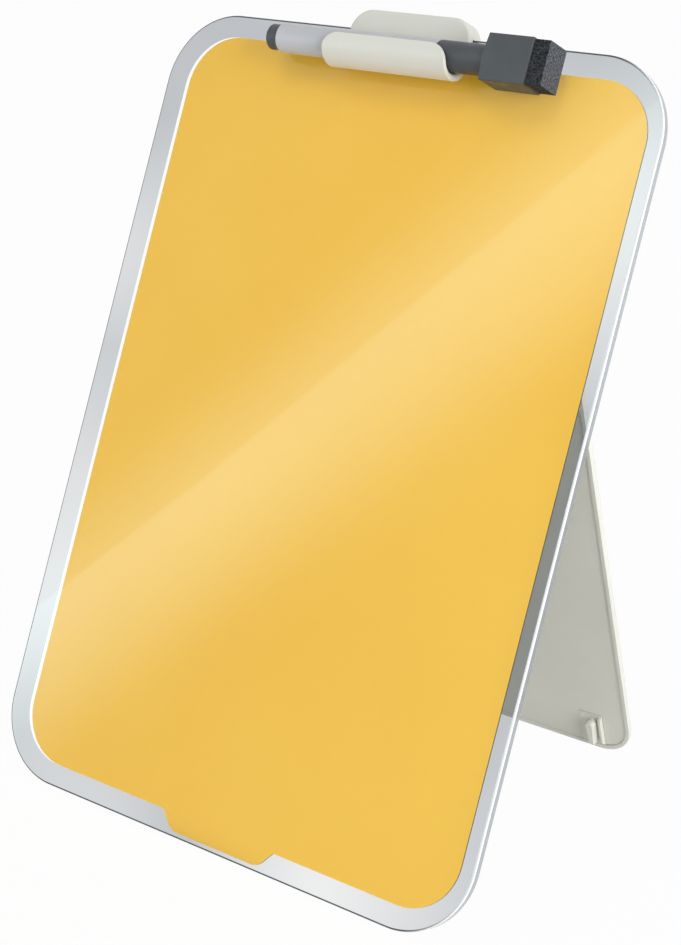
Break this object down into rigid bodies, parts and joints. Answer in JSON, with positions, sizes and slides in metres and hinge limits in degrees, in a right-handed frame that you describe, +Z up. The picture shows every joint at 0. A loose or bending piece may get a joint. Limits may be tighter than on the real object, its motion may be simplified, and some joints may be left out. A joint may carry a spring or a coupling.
{
  "type": "desk whiteboard easel",
  "caption": "Glass writing board on a fold-out stand, with a lift-off clip over its top edge that holds a capped marker with a felt eraser.",
  "frame": {"origin": "on the desk, at the centre of the easel's footprint", "axes": "+Z up, +X to the right of someone facing the board, -Y towards that person"},
  "size_m": [0.21, 0.1488, 0.2773],
  "materials": {
    "clear_glass": "polished, toughened, ground edge",
    "yellow_steel": "smooth enamel behind glass",
    "white_tape": "adhesive film",
    "white_moulding": "satin moulded",
    "pin_steel": "drawn",
    "soft_pad": "soft",
    "grey_plastic": "satin",
    "dark_plastic": "satin",
    "ink_fibre": "bonded fibre",
    "nib_fibre": "bonded fibre",
    "felt": "dense felt"
  },
  "bodies": {
    "board": {"glass_panel": "clear_glass", "writing_sheet": "yellow_steel", "bonding_tape": "white_tape", "back_cover": "white_moulding", "hinge_pin_left": "pin_steel", "hinge_pin_right": "pin_steel"},
    "stand": {"stand_leg": "white_moulding", "stand_catch_left": "white_moulding", "stand_catch_right": "white_moulding"},
    "clip": {"pen_clip": "white_moulding", "clip_pad": "soft_pad"},
    "marker": {"pen_barrel": "grey_plastic", "end_plug": "dark_plastic", "ink_reservoir": "ink_fibre", "grip_section": "dark_plastic", "pen_nib": "nib_fibre"},
    "cap": {"pen_cap": "dark_plastic", "cap_seal": "grey_plastic", "eraser_holder": "dark_plastic", "eraser_felt": "felt"}
  },
  "joints": [
    {"name": "stand_fold", "type": "hinge", "parent": "board", "child": "stand", "pos_m": [0, 0.018, 0.17388], "axis": [-1, 0, 0], "range_deg": [0, 43]},
    {"name": "clip_lift", "type": "slide", "parent": "board", "child": "clip", "axis": [0, 0.4226, 0.9063], "range_m": [0, 0.02]},
    {"name": "marker_lift", "type": "slide", "parent": "clip", "child": "marker", "axis": [0, 0.4226, 0.9063], "range_m": [0, 0.024]},
    {"name": "cap_pull", "type": "slide", "parent": "marker", "child": "cap", "axis": [1, 0, 0], "range_m": [0, 0.035]}
  ]
}
